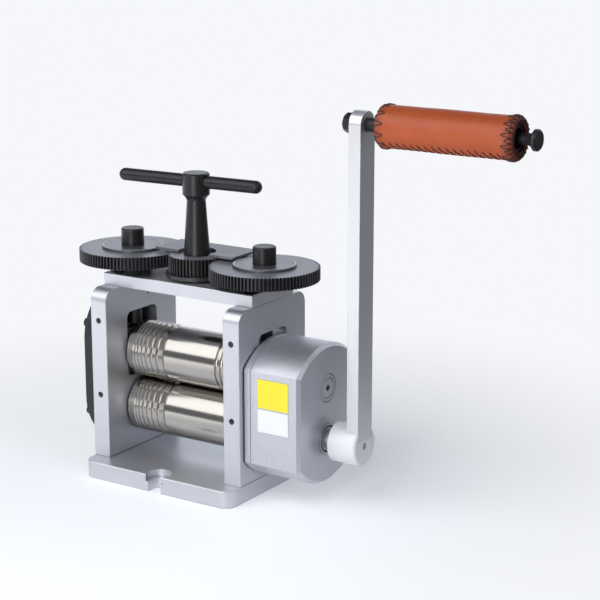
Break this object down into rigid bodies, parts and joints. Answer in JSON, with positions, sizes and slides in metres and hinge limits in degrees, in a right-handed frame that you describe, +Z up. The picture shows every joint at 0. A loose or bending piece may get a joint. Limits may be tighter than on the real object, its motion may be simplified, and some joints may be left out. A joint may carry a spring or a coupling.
{
  "type": "jewellers rolling mill",
  "caption": "Bench rolling mill for sheet and wire: grooved steel rolls between side plates, geared hand crank with leather grip, and tee handle gears that set the gap.",
  "frame": {"origin": "middle of the underside of the base plate", "axes": "+Z up, X along the rolls with the crank on +X, front at -Y"},
  "size_m": [0.3918, 0.12, 0.3065],
  "materials": {
    "frame_steel": "fine satin, bead blasted",
    "gearbox_aluminium": "bead blasted",
    "roll_steel": "ground and polished",
    "bright_steel": "satin bright",
    "black_oxide": "black oxide, semi gloss",
    "black_cover": "black, satin",
    "gear_steel": "machined, oiled",
    "bronze": "turned bronze",
    "spring_steel": "bright wire",
    "gasket": "matt",
    "yellow_label": "satin film",
    "white_label": "satin film",
    "leather": "smooth tan",
    "thread": "waxed thread",
    "core": "matt dark",
    "dial_plate": "black with white marks"
  },
  "bodies": {
    "frame": {"base_plate": "frame_steel", "left_side_plate": "frame_steel", "right_side_plate": "frame_steel", "top_plate": "frame_steel", "base_screws": "black_oxide", "top_plate_screws": "black_oxide", "left_screw_nut": "gear_steel", "right_screw_nut": "gear_steel", "left_lower_bush": "bronze", "right_lower_bush": "bronze", "pivot_bush": "bronze", "gear_spacers": "black_oxide", "pointer_plate": "black_oxide", "pointer_screws": "black_oxide", "left_gear_cover": "black_cover", "left_cover_screws": "black_oxide", "gearbox_gasket": "gasket", "gearbox_back_plate": "gearbox_aluminium", "gearbox_cover": "gearbox_aluminium", "gearbox_screws": "black_oxide", "layshaft_pin": "bright_steel", "layshaft_ring": "bright_steel", "crank_bearing": "bright_steel", "yellow_sticker": "yellow_label", "white_sticker": "white_label", "lift_springs": "spring_steel"},
    "crank": {"crank_shaft": "bright_steel", "crank_pinion": "gear_steel", "crank_hub": "bright_steel", "hub_set_screw": "black_oxide", "crank_arm": "bright_steel", "grip_spindle": "black_oxide", "spindle_nut": "black_oxide"},
    "grip": {"grip_core": "core", "leather_sleeve": "leather", "grip_lacing": "thread"},
    "layshaft": {"layshaft_gears": "gear_steel", "layshaft_bush": "bronze"},
    "lower_roll_set": {"lower_roll": "roll_steel", "lower_drive_wheel": "gear_steel", "lower_coupling_gear": "gear_steel", "lower_roll_keys": "gear_steel", "pilot_bush": "bronze"},
    "sliding_blocks": {"left_bearing_block": "black_oxide", "right_bearing_block": "black_oxide", "upper_bushes": "bronze"},
    "upper_roll_set": {"upper_roll": "roll_steel", "upper_coupling_gear": "gear_steel", "upper_roll_key": "gear_steel"},
    "left_gear_set": {"left_adjusting_gear": "black_oxide", "left_dial": "dial_plate"},
    "right_gear_set": {"right_adjusting_gear": "black_oxide", "right_dial": "dial_plate"},
    "left_screw": {"left_adjusting_screw": "black_oxide"},
    "right_screw": {"right_adjusting_screw": "black_oxide"},
    "handle": {"handle_post": "black_oxide", "centre_gear": "black_oxide", "handle_retainer": "black_oxide", "handle_retainer_screw": "black_oxide"},
    "tee": {"tee_bar": "black_oxide"}
  },
  "joints": [
    {"name": "crank_turn", "type": "hinge", "parent": "frame", "child": "crank", "pos_m": [0.13, 0, 0.049], "axis": [1, 0, 0], "continuous": true},
    {"name": "grip_spin", "type": "hinge", "parent": "crank", "child": "grip", "pos_m": [0.2, 0, 0.29], "axis": [1, 0, 0], "continuous": true},
    {"name": "layshaft_turn", "type": "hinge", "parent": "frame", "child": "layshaft", "pos_m": [0.09, 0, 0.089], "axis": [1, 0, 0], "continuous": true},
    {"name": "lower_roll_turn", "type": "hinge", "parent": "frame", "child": "lower_roll_set", "pos_m": [0, 0, 0.049], "axis": [1, 0, 0], "continuous": true},
    {"name": "block_slide", "type": "slide", "parent": "frame", "child": "sliding_blocks", "axis": [0, 0, 1], "range_m": [0, 0.005], "deforming": ["lift_springs"]},
    {"name": "upper_roll_turn", "type": "hinge", "parent": "sliding_blocks", "child": "upper_roll_set", "pos_m": [0, 0, 0.0944], "axis": [1, 0, 0], "continuous": true},
    {"name": "handle_turn", "type": "hinge", "parent": "frame", "child": "handle", "pos_m": [0, 0, 0.17], "axis": [0, 0, 1], "range_deg": [-2290, 0]},
    {"name": "left_gear_turn", "type": "hinge", "parent": "frame", "child": "left_gear_set", "pos_m": [-0.063, 0, 0.17], "axis": [0, 0, 1], "range_deg": [0, 1200]},
    {"name": "right_gear_turn", "type": "hinge", "parent": "frame", "child": "right_gear_set", "pos_m": [0.063, 0, 0.17], "axis": [0, 0, 1], "range_deg": [0, 1200]},
    {"name": "left_screw_turn", "type": "hinge", "parent": "sliding_blocks", "child": "left_screw", "pos_m": [-0.063, 0, 0.15], "axis": [0, 0, 1], "range_deg": [0, 1200]},
    {"name": "right_screw_turn", "type": "hinge", "parent": "sliding_blocks", "child": "right_screw", "pos_m": [0.063, 0, 0.15], "axis": [0, 0, 1], "range_deg": [0, 1200]},
    {"name": "tee_slide", "type": "slide", "parent": "handle", "child": "tee", "axis": [0.9976, 0.0698, 0], "range_m": [-0.042, 0.054]}
  ],
  "couplings": [
    {"joint": "layshaft_turn", "follows": "crank_turn", "ratio": -0.48837},
    {"joint": "lower_roll_turn", "follows": "crank_turn", "ratio": 0.23851},
    {"joint": "upper_roll_turn", "follows": "crank_turn", "ratio": -0.23851},
    {"joint": "left_gear_turn", "follows": "handle_turn", "ratio": -0.52174},
    {"joint": "right_gear_turn", "follows": "handle_turn", "ratio": -0.52174},
    {"joint": "left_screw_turn", "follows": "handle_turn", "ratio": -0.52174},
    {"joint": "right_screw_turn", "follows": "handle_turn", "ratio": -0.52174},
    {"joint": "block_slide", "follows": "handle_turn", "m_per_rad": -0.00012456}
  ]
}
